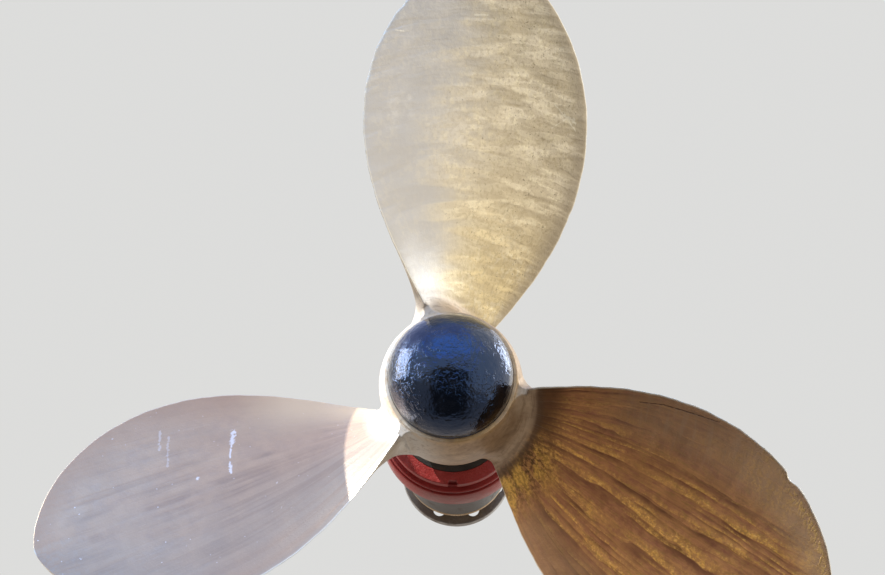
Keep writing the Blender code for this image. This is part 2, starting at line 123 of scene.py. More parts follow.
def blade_chord(radius):
    """Width of the blade along its screw surface."""
    outer = np.clip((radius - WIDEST_CHORD_RADIUS) / (PROPELLER_RADIUS - WIDEST_CHORD_RADIUS), 0, 1)
    inner = np.clip((WIDEST_CHORD_RADIUS - radius) / (WIDEST_CHORD_RADIUS - ROOT_RADIUS), 0, 1)
    towards_tip = WIDEST_CHORD * (1 - outer**TIP_ROUNDNESS) ** TIP_FULLNESS
    towards_root = WIDEST_CHORD - (WIDEST_CHORD - ROOT_CHORD) * inner**ROOT_TAPER
    return np.where(radius > WIDEST_CHORD_RADIUS, towards_tip, towards_root)


def smooth(low, high, value):
    """A value's smooth rise from 0 at one figure to 1 at another."""
    share = np.clip((value - low) / (high - low), 0, 1)
    return share * share * (3 - 2 * share)


def edge_damage(radius, share, number):
    """How far the blade's edges have been knocked back: a notch, a few nicks, and an uneven outline."""

    def nick(depth, place, width):
        return depth * np.exp(-(((radius - place) / width) ** 2))

    def notch(depth, start, full, fading, end):
        return depth * smooth(start, full, radius) * (1 - smooth(fading, end, radius))

    trailing = 0.0011 * np.sin(radius * 41 + number * 2.1) + 0.0007 * np.sin(radius * 97 + number)
    leading = 0.0011 * np.sin(radius * 37 + number * 1.3) + 0.0007 * np.sin(radius * 89 + number)
    if number == 0:
        trailing = trailing + notch(0.006, 1.490, 1.503, 1.505, 1.54)
        leading = leading + nick(0.003, 0.93, 0.006)
    if number == 1:
        trailing = trailing + notch(0.014, 1.352, 1.366, 1.368, 1.425)
        leading = leading + nick(0.004, 1.21, 0.008)
    if number == 2:
        trailing = trailing + nick(0.003, 1.13, 0.008)
        leading = leading + nick(0.006, 1.738, 0.006)
    return np.where(share > 0, -leading, trailing) * np.abs(share) ** 16


def blade_place(radius, share, back, number):
    """Where a point of the blade lies on its cylinder: round it, along it, and along the chord."""
    span = (radius - ROOT_RADIUS) / (PROPELLER_RADIUS - ROOT_RADIUS)
    outwards = np.maximum(span, 0)
    slope = np.arctan(PITCH / (tau * radius))
    thickness = ROOT_THICKNESS + (TIP_THICKNESS - ROOT_THICKNESS) * outwards
    half = blade_chord(radius) / 2
    edge = np.minimum(EDGE_THICKNESS, half / 2)
    rim_share = np.clip((radius - BOSS_AFT_RADIUS) / 0.12, 0, 1)
    trailing = half - ROOT_TUCK * (1 - rim_share) ** 3
    roundness = np.sqrt(1 - np.abs(share) ** 24)
    full = edge * roundness + (thickness - edge) * (1 - share**2)
    chord_place = share * np.where(share > 0, half, trailing)
    chord_place = chord_place + edge_damage(radius, share, number) + TIP_SKEW * outwards
    hollows = 0.0007 * np.sin(radius * 31 + chord_place * 17 + number * 1.7)
    hollows = hollows + 0.0006 * np.sin(radius * 19 - chord_place * 38 + number * 0.9 + back)
    hollows = hollows + 0.0003 * np.sin(radius * 83 + chord_place * 11 + number)
    lift = edge / 2 * (1 - roundness) + back * full + hollows * (1 - share**4) * smooth(0.42, 0.6, radius)
    rake = TIP_RAKE * span + TIP_CURL * span**2
    round_shaft = chord_place * np.cos(slope) - lift * np.sin(slope)
    along = chord_place * np.sin(slope) + lift * np.cos(slope) - rake
    return round_shaft, along, chord_place


def cast_sector(number):
    """A third of the casting's skin: a blade, its root fillet, and the boss half way to the next blade."""
    across_steps, rim_steps, end_steps = 78, 10, 12
    side_steps = across_steps - rim_steps - end_steps
    to_leading = -np.cos(pi * np.arange(across_steps + 1) / across_steps)
    share = np.concatenate([to_leading, to_leading[-2:0:-1]])
    back = np.concatenate([np.zeros(across_steps + 1), np.ones(across_steps - 1)])
    face = np.concatenate([[0.5], np.ones(across_steps - 1), [0.5], np.zeros(across_steps - 1)])

    # The fillet's size round the root: full on the faces, less at the two edges
    fillet = ROOT_FILLET * (1 - 0.55 * smooth(0.6, 1, share)) * (1 - 0.45 * smooth(0.55, 1, -share))
    radius = np.full(share.shape, boss_widest_radius) + fillet
    for _ in range(4):
        round_shaft, along, _ = blade_place(radius, share, back, number)
        radius = boss_surface(np.clip(along, skin_aft, skin_forward)) + fillet
    past_edge = np.sign(share) * np.abs(share) ** 12
    off_face = np.where(back > 0.5, 1, -1) * np.sqrt(1 - past_edge**2)
    slope = np.arctan(PITCH / (tau * radius))
    towards = [past_edge * np.cos(slope) - off_face * np.sin(slope)]
    towards.append(past_edge * np.sin(slope) + off_face * np.cos(slope))
    root_radius = radius

    rings = []

    def keep(radius, angle, along, chord_place, height):
        rings.append(np.array([radius, angle, along, share, chord_place, face, height]))

    blade_steps = 112
    steps = np.sin(pi / 2 * np.linspace(1, 0, blade_steps)) * 0.75 + np.linspace(1, 0, blade_steps) * 0.25
    notch = (1.366 - root_radius.mean()) / (PROPELLER_RADIUS - root_radius.mean())
    steps = np.unique(np.concatenate([steps, notch + np.linspace(-0.014, 0.03, 14)]))[::-1]
    for step in steps:
        radius = root_radius + (PROPELLER_RADIUS - 0.0006 - root_radius) * step
        round_shaft, along, chord_place = blade_place(radius, share, back, number)
        keep(radius, -round_shaft / radius, along, chord_place, radius - root_radius + fillet)
    for step in np.linspace(0, 1, 14)[1:]:
        height = fillet * (1 - sin(pi / 2 * step))
        reach = fillet * (1 - cos(pi / 2 * step))
        at_radius = boss_surface(np.clip(along, skin_aft, skin_forward)) + height
        round_shaft, along, chord_place = blade_place(at_radius, share, back, number)
        angle = -(round_shaft + towards[0] * reach) / at_radius
        along = np.clip(along + towards[1] * reach, skin_aft + 0.001, skin_forward - 0.001)
        keep(boss_surface(along) + height, angle, along, chord_place, height)

    # The border of the sector on the boss: along its aft rim, up one side, along its forward end, and back
    side_along = np.linspace(skin_aft, skin_forward, side_steps + 1)
    rim_turn = np.linspace(0, pi / BLADES, rim_steps + 1)
    end_turn = np.linspace(pi / BLADES, 0, end_steps + 1)
    half_turn = np.concatenate([rim_turn, np.full(side_steps - 1, pi / BLADES), end_turn])
    half_along = np.concatenate([np.full(rim_steps, skin_aft), side_along, np.full(end_steps, skin_forward)])
    border_along = np.concatenate([half_along, half_along[-2:0:-1]])
    border_turn = np.concatenate([-half_turn, half_turn[-2:0:-1]]) + 0.1 - tau / PITCH * border_along
    inner_angle, inner_along = angle, along
    for step in np.linspace(0, 1, 13)[1:]:
        step = step**1.4
        angle = inner_angle + (border_turn - inner_angle) * step
        along = inner_along + (border_along - inner_along) * step
        keep(boss_surface(along), angle, along, chord_place, np.zeros(share.shape))
    return np.array(rings)


# Each sector's rings of points, tip first, joined by four-sided faces and closed at the tip
points, facts, faces = [], [], []
for number in range(BLADES):
    radius, angle, along, share, chord_place, face, height = cast_sector(number).transpose(1, 0, 2)
    angle = angle + (pi / 2 - TOP_BLADE_LEAN - number * tau / BLADES)
    places = [radius * np.cos(angle), along + blade_plane, radius * np.sin(angle) + shaft_height]
    count, size = radius.shape
    start = sum(len(block) for block in points)
    points.append(np.stack(places, -1).reshape(-1, 3))
    chord = blade_chord(radius)
    to_edge = np.minimum((1 - np.abs(share)) * chord / 2, (PROPELLER_RADIUS - radius) * 1.5)
    fan = share * np.where(radius > WIDEST_CHORD_RADIUS, chord / WIDEST_CHORD, 1)
    on_blades = [0 * radius] * BLADES
    on_blades[number] = smooth(0.050, 0.100, height)
    block = np.stack([radius, share, fan, chord_place, face, height, to_edge, *on_blades], -1)
    facts.append(block.reshape(-1, 10))
    index = start + np.arange(count * size).reshape(count, size)
    onward = np.roll(index, -1, axis=1)
    quads = np.stack([index[:-1], onward[:-1], onward[1:], index[1:]], -1).reshape(-1, 4)
    faces += quads.tolist()
    tip, half = index[0].tolist(), size // 2
    faces.append([tip[0], tip[1], tip[-1]])
    faces += [[tip[i], tip[i + 1], tip[-i - 1], tip[-i]] for i in range(1, half - 1)]
    faces.append(tip[half - 1 : half + 2])


def turned_block(outline, steps, start=0, centre=(0, shaft_height), sides=None):
    """Points and faces of an outline of (radius, along) swept round a centre (x, z), or made many-sided."""
    angle = tau * np.arange(steps) / steps
    outline = np.array(outline)
    radius, along = outline[:, :1], outline[:, 1:]
    if sides:
        radius = radius * cos(pi / sides) / np.cos(angle % (tau / sides) - pi / sides)
    x, z = centre[0] + radius * np.cos(angle), centre[1] + radius * np.sin(angle)
    round_points = np.stack([x, along + 0 * angle, z], -1)
    index = start + np.arange(len(outline) * steps).reshape(-1, steps)
    onward = np.roll(index, -1, axis=1)
    quads = np.stack([index[:-1], index[1:], onward[1:], onward[:-1]], -1).reshape(-1, 4)
    return round_points.reshape(-1, 3), quads.tolist()


def bevelled(radius, along, off_radius, off_end):
    """The two points of a bevelled edge, the one on the end face first."""
    return (radius + off_radius, along), (radius, along + off_end)


boss_aft_face = blade_plane - BOSS_AFT_LENGTH
boss_forward_face = blade_plane + BOSS_FORWARD_LENGTH
forward_rim = float(boss_surface(np.array(skin_forward)))
aft_rim = float(boss_surface(np.array(skin_aft)))
rounding = [(sin(pi / 2 * step / 4), 1 - cos(pi / 2 * step / 4)) for step in range(5)]
end_outline = [
    (forward_rim - BOSS_EDGE_ROUND * down, blade_plane + skin_forward + BOSS_EDGE_ROUND * out)
    for out, down in rounding
]
end_outline += [
    *bevelled(SEAL_RECESS_RADIUS, boss_forward_face, RECESS_BEVEL, -RECESS_BEVEL),
    (SEAL_RECESS_RADIUS, boss_forward_face - SEAL_RECESS_DEPTH),
    (BORE_FORWARD_RADIUS, boss_forward_face - SEAL_RECESS_DEPTH),
    (BORE_AFT_RADIUS, boss_aft_face + NUT_RECESS_DEPTH),
    (NUT_RECESS_RADIUS, boss_aft_face + NUT_RECESS_DEPTH),
    *bevelled(NUT_RECESS_RADIUS, boss_aft_face, RECESS_BEVEL, RECESS_BEVEL)[::-1],
]
end_outline += [
    (aft_rim - BOSS_EDGE_ROUND * down, blade_plane + skin_aft - BOSS_EDGE_ROUND * out)
    for out, down in reversed(rounding)
]
start = sum(len(block) for block in points)
end_points, end_faces = turned_block(end_outline, 144, start)
points.append(end_points)
faces += end_faces
end_facts = np.zeros((len(end_points), 10))
end_facts[:, 0] = 0.25
end_facts[:, 6] = 1
facts.append(end_facts)
points, facts = np.concatenate(points), np.concatenate(facts)


def closed_mesh(name, corners, faces, doubles=0.00002, fill_ends=True, facts=None):
    """A mesh with values at its points, its double points merged, its ends filled and its faces outwards."""
    mesh = bpy.data.meshes.new(name)
    mesh.from_pydata(corners.tolist(), [], faces)
    for fact, values in (facts or {}).items():
        mesh.attributes.new(fact, "FLOAT", "POINT").data.foreach_set("value", values.astype(np.float32))
    loose = bmesh.new()
    loose.from_mesh(mesh)
    bmesh.ops.remove_doubles(loose, verts=loose.verts, dist=doubles)
    if fill_ends:
        bmesh.ops.holes_fill(loose, edges=[edge for edge in loose.edges if edge.is_boundary], sides=0)
    bmesh.ops.recalc_face_normals(loose, faces=loose.faces)
    loose.to_mesh(mesh)
    loose.free()
    return mesh


def sharpened(mesh, degrees=35):
    """A mesh shaded smooth but for its edges."""
    mesh.shade_smooth()
    mesh.set_sharp_from_angle(angle=radians(degrees))
    return mesh


def placed(name, data):
    """An object of a mesh, light or camera, put in the scene."""
    made = bpy.data.objects.new(name, data)
    bpy.context.scene.collection.objects.link(made)
    return made


blade_facts = ["radius", "across", "fan", "chord_place", "face", "height", "to_edge"]
blade_facts += ["top_blade", "starboard_blade", "port_blade"]
facts = dict(zip(blade_facts, facts.T))
casting_mesh = closed_mesh("propeller_casting_fine", points, faces, 0.00005, False, facts)
casting = placed("propeller_casting_fine", sharpened(casting_mesh, 50))


# The helpers below add nodes to `tree` and feed `ends`, which belong to the material or group begun last
def start_material(name, metallic, roughness, **values):
    """A material with the values of its Principled BSDF set."""
    global tree, ends
    made = bpy.data.materials.new(name)
    made.use_nodes = True
    tree = made.node_tree
    ends = tree.nodes["Principled BSDF"].inputs
    for socket, value in {"Metallic": metallic, "Roughness": roughness, **values}.items():
        ends[socket.replace("_", " ")].default_value = value
    return made


def start_group(name, floats, outputs, places=""):
    """A node group with float and vector inputs and float outputs, named in rows of words, and its inputs."""
    global tree, ends
    tree = bpy.data.node_groups.new(name, "ShaderNodeTree")
    rows = [("INPUT", "Float", floats), ("INPUT", "Vector", places), ("OUTPUT", "Float", outputs)]
    for way, kind, words in rows:
        for word in words.split():
            tree.interface.new_socket(name=word, in_out=way, socket_type="NodeSocket" + kind)
    ends = tree.nodes.new("NodeGroupOutput").inputs
    return tree, *list(tree.nodes.new("NodeGroupInput").outputs)[:-1]


def feed(value, socket):
    """Joins a value to what the material or group gives out."""
    tree.links.new(value, ends[socket])


def add(kind, values=(), **settings):
    """The outputs of a shader node, its settings made and its inputs set or joined in order or by name."""
    made = tree.nodes.new("ShaderNode" + kind)
    for name, value in settings.items():
        setattr(made, name, value)
    for socket, value in values.items() if isinstance(values, dict) else enumerate(values):
        if isinstance(value, bpy.types.NodeSocket):
            tree.links.new(value, made.inputs[socket])
        else:
            made.inputs[socket].default_value = value
    return made.outputs


def sums(operation, *values, clamp=False):
    """The output of a Math node."""
    return add("Math", values, operation=operation, use_clamp=clamp)[0]


def times(*factors):
    """Masks multiplied together."""
    return reduce(lambda one, other: sums("MULTIPLY", one, other), factors)


def strongest(*masks):
    """The greatest of several masks at each point."""
    return reduce(lambda one, other: sums("MAXIMUM", one, other), masks)


def between(value, low, high, to_low=0, to_high=1):
    """A value's smooth step from one figure to another."""
    return add("MapRange", (value, low, high, to_low, to_high), interpolation_type="SMOOTHSTEP")[0]


def eased(mask, at_none, at_full):
    """A mask brought between two figures."""
    return between(mask, 0, 1, at_none, at_full)


def vectors(operation, *values):
    """The outputs of a Vector Math node."""
    return add("VectorMath", values, operation=operation)


def vector_of(*parts):
    """A vector of one to three values."""
    return add("CombineXYZ", parts)[0]


def own_place(**mapping):
    """A place in the piece's own coordinates, stretched or turned by a mapping if one is given."""
    place = add("TexCoord")["Object"]
    return add("Mapping", {"Vector": place, **mapping})[0] if mapping else place


def noise(place, detail=2, scale=1, **inputs):
    """Soft noise at a place."""
    return add("TexNoise", {"Vector": place, "Scale": scale, "Detail": detail, **inputs})[0]


def mixed(share, first, second):
    """One colour turned into another by a share."""
    first, second = ((*value, 1) if isinstance(value, tuple) else value for value in (first, second))
    return add("Mix", {0: share, 6: first, 7: second}, data_type="RGBA")[2]


DAYLIGHT_OFFSET = 0.055
DAYLIGHT_POWER = 2.4
DAYLIGHT_SCALE = 1.134


def tint(*parts):
    """A colour as it looks in plain daylight, 0 to 255, turned to the linear values that a shader takes."""
    linear = ((part / 255 + DAYLIGHT_OFFSET) ** DAYLIGHT_POWER / DAYLIGHT_SCALE for part in parts)
    return tuple(round(part, 4) for part in linear)


def layered(colour, *layers):
    """Tints laid over a colour one by one, each given as (how much of it, red, green, blue, its masks)."""
    for share, red, green, blue, *masks in layers:
        colour = mixed(times(*masks, share), colour, tint(red, green, blue))
    return colour


def emboss(*rises, strength=1):
    """Raises the surface by each mask times its rise in metres."""
    raised = 0
    for mask, rise in rises:
        raised = sums("MULTIPLY_ADD", mask, rise, raised)
    feed(add("Bump", {"Height": raised, "Distance": 1, "Strength": strength})[0], "Normal")


# Ridges left by the grinder, fanning from the root: each rises gently and drops sharply to its dark side,
# which the Shade output darkens as painted shade
ridges, fan, radius, count, seed = start_group("ridges on the blade", "Fan Radius Count Seed", "Ridge Shade")
uneven_place = sums("MULTIPLY_ADD", fan, 1.7, seed)
uneven = add("TexNoise", {"W": uneven_place, "Scale": 1}, noise_dimensions="1D")[0]
sway = noise(vector_of(times(fan, 2.5), times(radius, 2.2), seed), 3, Roughness=0.6)
spread = sums("MULTIPLY_ADD", uneven, 0.55, fan)
counted = times(sums("MULTIPLY_ADD", sway, 0.16, spread), count)
saw = sums("FRACT", counted)
lone = noise(vector_of(times(sums("FLOOR", counted), 3.7), times(radius, 2.6), seed))
strength = between(lone, 0.36, 0.62)
feed(times(between(saw, 0.4, 0.97), between(saw, 1, 0.955), strength), "Ridge")
feed(times(between(saw, 0.42, 0), strength), "Shade")

# Noise drawn out in one direction of the blade's own two: soft streaks, bands and smudges
drawn, first, second, length, width, detail, seed, low, high = start_group(
    "drawn out noise", "First Second Length Width Detail Seed Low High", "Mask"
)
drawn_place = vector_of(sums("DIVIDE", first, length), sums("DIVIDE", second, width), seed)
feed(between(noise(drawn_place, detail, Roughness=0.6, Distortion=0.25), low, high), "Mask")

# Blotches of tarnish and stain, in the part's own coordinates
blotches, size, detail, seed, low, high = start_group("blotches", "Size Detail Seed Low High", "Mask")
shifted = vectors("ADD", own_place(), vector_of(seed))[0]
feed(between(noise(shifted, detail, sums("DIVIDE", 1, size), Roughness=0.62), low, high), "Mask")

# A single mark on a blade from one place to another: a scratch, a weld line or a run of bird lime
marks, chord_place, radius, width, ragged, start, end = start_group(
    "mark on the blade", "Chord Radius Width Ragged", "Mask", "Start End"
)
here = vector_of(chord_place, radius)
from_start = vectors("SUBTRACT", here, start)[0]
whole = vectors("SUBTRACT", end, start)[0]
reached = vectors("DOT_PRODUCT", from_start, whole)["Value"]
share_along = sums("DIVIDE", reached, vectors("DOT_PRODUCT", whole, whole)["Value"], clamp=True)
nearest = add("VectorMath", {0: whole, "Scale": share_along}, operation="SCALE")[0]
off_mark = vectors("LENGTH", vectors("SUBTRACT", from_start, nearest)[0])["Value"]
tear = times(sums("SUBTRACT", noise(here, 3, 90), 0.5), times(ragged, 3))
feed(between(sums("ADD", sums("DIVIDE", off_mark, width), tear), 1, 0.35), "Mask")

FAN_PER_METRE = 1.86

bronze = start_material("cast and ground bronze", 0.85, 0.42)
radius, across, fan, chord_place, face, height, to_edge, top_blade, starboard_blade, port_blade = (
    add("Attribute", attribute_name=name)["Fac"] for name in blade_facts
)


def blotch(size, seed, low=0.4, high=0.6, detail=5):
    """Blotches of a size in metres, with the noise values where they begin and are full."""
    return add("Group", (size, detail, seed, low, high), node_tree=blotches)[0]


def streaks(first, second, length, width, seed, low=0.35, high=0.65, detail=3):
    """Streaks drawn out along the first of two directions."""
    return add("Group", (first, second, length, width, detail, seed, low, high), node_tree=drawn)[0]


def along_blade(width, length, seed, *limits):
    """Streaks that run outwards with the fan of the blade."""
    return streaks(radius, fan, length, width * FAN_PER_METRE, seed, *limits)


def across_blade(width, length, seed, *limits):
    """Streaks and bands that run from edge to edge of the blade."""
    return streaks(chord_place, radius, length, width, seed, *limits)


def level_streaks(width, length, seed, *limits):
    """Streaks and bands laid slightly aslant, outwards towards the leading edge."""
    return streaks(chord_place, sums("MULTIPLY_ADD", chord_place, -0.2, radius), length, width, seed, *limits)


def mark(start, end, width, ragged=1):
    """A mark between two places given as (chord place, radius)."""
    return add("Group", (chord_place, radius, width, ragged, (*start, 0), (*end, 0)), node_tree=marks)[0]


# Starboard blade: brown tarnish, with golden ridges where the grinding still shines, crumbled by pitting
broad_ridges = add("Group", (fan, radius, 5.5, 3), node_tree=ridges)
fine_ridges = add("Group", (fan, radius, 13, 11), node_tree=ridges)
crumble = blotch(0.016, 4, 0.41, 0.6, 4)
soft_streak = along_blade(0.035, 0.55, 2)
patchy = along_blade(0.09, 0.2, 43, 0.34, 0.6)
fine_streak = along_blade(0.008, 0.1, 47, 0.38, 0.62)
# The dark side after each ridge's drop is darkened as painted shade
painted_ridge_shade = strongest(broad_ridges["Shade"], times(fine_ridges["Shade"], 0.6))
root_gold = times(
    between(radius, 0.62, 0.42),
    between(radius, 0.34, 0.4),
    between(across, -0.45, 0.25),
    blotch(0.09, 9, 0.42, 0.6, 8),
    eased(crumble, 0.6, 1),
)
rim_gold = times(between(to_edge, 0.24, 0.08), between(radius, 1.02, 1.3), between(across, 0, -0.3))
gold_share = times(
    strongest(broad_ridges["Ridge"], times(fine_ridges["Ridge"], 0.75)),
    eased(patchy, 0.35, 1),
    eased(fine_streak, 0.6, 1),
    eased(crumble, 0.35, 1),
    between(across, -0.9, -0.35, 0.15, 1),
    between(across, 0.95, 0.6, 0.1, 1),
)
gold_share = strongest(
    gold_share,
    times(root_gold, 0.9),
    times(rim_gold, eased(crumble, 0.1, 0.85), along_blade(0.05, 0.2, 71, 0.36, 0.6)),
)
smudge = across_blade(0.022, 0.16, 6, 0.42, 0.72)
greyed = times(between(across, -0.4, -0.8), between(radius, 0.5, 0.85), eased(smudge, 0.7, 1))
smoothed = times(between(across, 0.45, 0.75), between(radius, 0.45, 0.62))
dark_root = times(between(radius, 0.52, 0.4), between(across, 0.1, -0.4))
olive = times(between(radius, 0.6, 0.42), between(across, -0.6, 0.2))
weld_line = strongest(
    mark((-0.415, 0.746), (-0.444, 0.839), 0.003, 0.4),
    mark((-0.444, 0.839), (-0.461, 0.957), 0.004, 0.4),
    mark((-0.461, 0.957), (-0.474, 1.06), 0.003, 0.5),
)
weld_line = times(weld_line, starboard_blade)
hammered = times(
    between(to_edge, 0.022, 0.03),
    between(to_edge, 0.085, 0.05),
    between(across, 0, -0.3),
    between(radius, 1.3, 1.44),
    across_blade(0.009, 0.02, 3, 0.45, 0.6, 1),
    starboard_blade,
)
starboard_colour = layered(
    mixed(blotch(0.16, 7, 0.36, 0.64), tint(170, 117, 84), tint(192, 137, 94)),
    (0.4, 120, 80, 60, blotch(0.035, 65, 0.46, 0.62, 6)),
    (0.4, 188, 146, 88, blotch(0.024, 66, 0.5, 0.66, 6)),
    (0.5, 200, 150, 92, soft_streak),
    (0.25, 120, 86, 62, fine_streak),
    (0.5, 152, 98, 82, along_blade(0.022, 0.07, 61, 0.5, 0.66, 4)),
    (0.5, 150, 122, 70, along_blade(0.016, 0.06, 63, 0.54, 0.68, 4)),
    (1, 106, 68, 50, painted_ridge_shade, eased(patchy, 0.35, 0.85)),
    (1, 242, 190, 98, gold_share),
    (0.45, 212, 178, 134, rim_gold),
    (0.8, 255, 214, 130, gold_share, blotch(0.009, 44, 0.52, 0.64, 3)),
    (0.75, 178, 148, 120, greyed),
    (0.7, 128, 102, 78, smoothed),
    (0.85, 80, 52, 28, dark_root),
    (1, 84, 62, 28, olive, eased(crumble, 0.9, 0.3)),
    (0.85, 206, 164, 80, olive, root_gold),
    (0.8, 70, 52, 40, weld_line),
    (0.8, 214, 178, 112, hammered),
)

# Top blade: smooth grey by the trailing edge, grained golden beige by the leading edge, banded across. The
# grey and golden halves are partly the bronze's own surface and partly painted light: painted shade on the
# trailing half, painted reflected warm light on the leading half
bands = level_streaks(0.07, 0.38, 5, 0.41, 0.58, 1)
ripples = level_streaks(0.03, 0.13, 15, 0.42, 0.6, 1.2)
grained = blotch(0.026, 25, 0.45, 0.6, 6)
wrinkles = sums("ABSOLUTE", sums("SUBTRACT", blotch(0.042, 26, 0.3, 0.7, 4), 0.5))
wrinkles = times(between(wrinkles, 0.055, 0), blotch(0.1, 37, 0.44, 0.6))
towards_leading = between(sums("MULTIPLY_ADD", bands, 0.2, across), -0.5, 0.45)
grain_share = times(grained, eased(towards_leading, 0.15, 0.95), blotch(0.12, 13, 0.3, 0.6))
scratches = strongest(
    mark((0.4, 1.272), (0.515, 1.222), 0.0035, 1.6),
    mark((0.475, 1.258), (0.397, 1.183), 0.002, 1.6),
    mark((0.45, 1.25), (0.5, 1.25), 0.01, 2),
    mark((0.001, 1.505), (0.059, 1.517), 0.004),
    mark((-0.343, 1.411), (-0.306, 1.407), 0.004),
)
rubbed = times(mark((-0.36, 1.08), (-0.29, 1.12), 0.08, 0.3), blotch(0.05, 33, 0.4, 0.66, 5))
top_colour = layered(
    # Grey to golden across the blade: partly the surface's own tone, partly painted shade and painted
    # reflected light
    mixed(towards_leading, tint(192, 189, 185), tint(226, 214, 188)),
    (0.7, 226, 204, 146, between(radius, 1.1, 0.45), towards_leading),
    (0.8, 238, 226, 194, grain_share),
    (0.45, 244, 234, 204, wrinkles, towards_leading),
    (0.35, 156, 138, 104, blotch(0.014, 38, 0.5, 0.62, 4), towards_leading),
    (0.9, 166, 150, 116, eased(bands, 1, 0), eased(towards_leading, 0.1, 0.36)),
    (0.9, 174, 158, 128, eased(ripples, 1, 0), eased(towards_leading, 0.05, 0.34)),
    (0.6, 110, 98, 80, blotch(0.011, 31, 0.7, 0.74, 1), towards_leading),
    (0.65, 166, 154, 134, between(to_edge, 0.11, 0.018), between(across, 0.3, 0.6)),
    (0.5, 240, 234, 214, scratches),
    (0.35, 228, 224, 216, rubbed),
    (0.3, 140, 122, 92, mark((0.22, 1.304), (0.406, 1.347), 0.006, 1.5)),
)

# Port blade: grey with a mauve cast, long soft streaks, bluer by the trailing edge as a painted reflection of
# sky, and blotched at the rim
long_streak = along_blade(0.04, 0.9, 21, 0.38, 0.66)
lime = strongest(
    mark((0.325, 0.893), (0.255, 0.905), 0.012),
    mark((0.245, 0.91), (0.175, 0.925), 0.005),
    mark((0.15, 0.93), (0.095, 0.94), 0.008),
    times(mark((0.44, 1.183), (0.345, 1.192), 0.006, 2), 0.35),
    times(mark((0.398, 1.15), (0.247, 1.171), 0.005, 2.2), 0.3),
    mark((0.131, 1.069), (0.126, 1.071), 0.007),
    times(blotch(0.017, 41, 0.775, 0.79, 1), 0.7),
)
streak_share = times(long_streak, between(across, 0.6, -0.1, 0.2, 0.6), blotch(0.3, 19, 0.35, 0.6))
# The bluer grey towards the trailing edge is a painted reflection of the sky
painted_sky_blue_share = times(between(across, 0, -0.8), between(radius, 1.25, 0.6), eased(long_streak, 0.7, 0.3))
port_colour = layered(
    mixed(blotch(0.2, 17, 0.3, 0.7), tint(182, 159, 138), tint(192, 168, 145)),
    (0.35, 170, 152, 138, blotch(0.06, 18, 0.42, 0.66)),
    (1, 146, 127, 114, streak_share),
    (0.55, 192, 168, 146, between(to_edge, 0.16, 0.03), blotch(0.07, 23, 0.42, 0.62)),
    (0.55, 174, 144, 120, between(to_edge, 0.22, 0.02)),
    (1, 170, 170, 162, painted_sky_blue_share),
    (0.8, 222, 202, 170, between(across, 0.25, 0.85), between(radius, 0.95, 0.6)),
    (0.5, 156, 143, 130, between(across, 0.2, -0.7)),
    (0.85, 236, 233, 232, lime),
)

# The boss, the fillets and the backs of the blades
# The boss's port side is lightened to near white as painted sunlight
painted_sun_on_port_side = between(add("SeparateXYZ", [own_place()])[0], 0.02, -0.17)
sweep = streaks(across, height, 0.5, 0.017, 35, detail=4)
on_fillet = times(between(height, 0.002, 0.02), between(height, 0.1, 0.085))
boss_colour = layered(
    mixed(blotch(0.07, 27, 0.35, 0.65), tint(164, 138, 110), tint(190, 164, 132)),
    (0.95, 222, 220, 214, painted_sun_on_port_side),
    (0.4, 112, 90, 70, blotch(0.02, 28, 0.5, 0.7)),
    (0.45, 182, 164, 140, on_fillet, sweep),
    (0.35, 98, 80, 64, on_fillet, between(sweep, 0.5, 0)),
    (0.35, 206, 170, 108, between(radius, 0.275, 0.266), blotch(0.04, 36, 0.35, 0.6)),
)
back_colour = layered(
    mixed(blotch(0.5, 29, 0.3, 0.7), tint(134, 112, 86), tint(158, 134, 100)),
    (0.5, 120, 106, 84, blotch(0.09, 30, 0.42, 0.64, 7)),
    (0.15, 112, 88, 62, soft_streak),
    (0.25, 184, 158, 112, grained),
    (0.4, 100, 92, 74, crumble, blotch(0.2, 32, 0.45, 0.65)),
)
# A dark line where each fillet meets the boss, none on the port blade and fainter on the top blade: painted
# shade along the crease
painted_shade_at_fillet_top = times(
    between(height, 0.072, 0.09),
    between(height, 0.125, 0.094),
    between(port_blade, 0.5, 0),
    between(top_blade, 0.5, 0, 0.25, 0.75),
)
on_back = times(between(face, 0.5, 0.1), between(height, 0.02, 0.15))
# The pale line along the blade edges is partly bright wear and partly a painted highlight
worn_edge_and_highlight = times(between(to_edge, 0.009, 0.002), between(height, 0.03, 0.12))
colour = mixed(top_blade, boss_colour, top_colour)
colour = mixed(starboard_blade, colour, starboard_colour)
colour = mixed(port_blade, colour, port_colour)
colour = mixed(on_back, layered(colour, (1, 84, 62, 42, painted_shade_at_fillet_top)), back_colour)
feed(layered(colour, (0.85, 226, 218, 200, worn_edge_and_highlight)), "Base Color")
port_metal = sums("MULTIPLY_ADD", times(port_blade, between(radius, 0.36, 0.62)), 0.4, 0.35)
feed(strongest(times(starboard_blade, 0.85), times(top_blade, 0.85), port_metal), "Metallic")
feed(eased(sums("ADD", gold_share, times(crumble, 0.25)), 0.46, 0.34), "Roughness")
emboss(
    (times(broad_ridges["Ridge"], starboard_blade), 0.0022),
    (times(fine_ridges["Ridge"], starboard_blade), 0.0009),
    (crumble, 0.00035),
    (times(bands, top_blade), 0.0014),
    (times(ripples, top_blade), 0.0007),
    (times(long_streak, port_blade), 0.0008),
    (weld_line, -0.0015),
    (hammered, 0.0006),
    strength=0.6,
)
casting_mesh.materials.append(bronze)
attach(casting, "rotor")
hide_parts("propeller_casting")


# The cap: a hollow gunmetal dome over the propeller nut, filled with tallow, brushed with black enamel and
# seated on a rubber joint ring against the boss's aft face.
CAP_RADIUS = 0.249
CAP_HEIGHT = 0.228
CAP_WALL = 0.02
CAP_INSIDE_DEPTH = 0.05
CAP_SKIRT = 0.014
CAP_RIM_ROUND = 0.003
DOME_INSET = 0.0022
DOME_STEPS = 44
AXIS_GAP = 0.0004

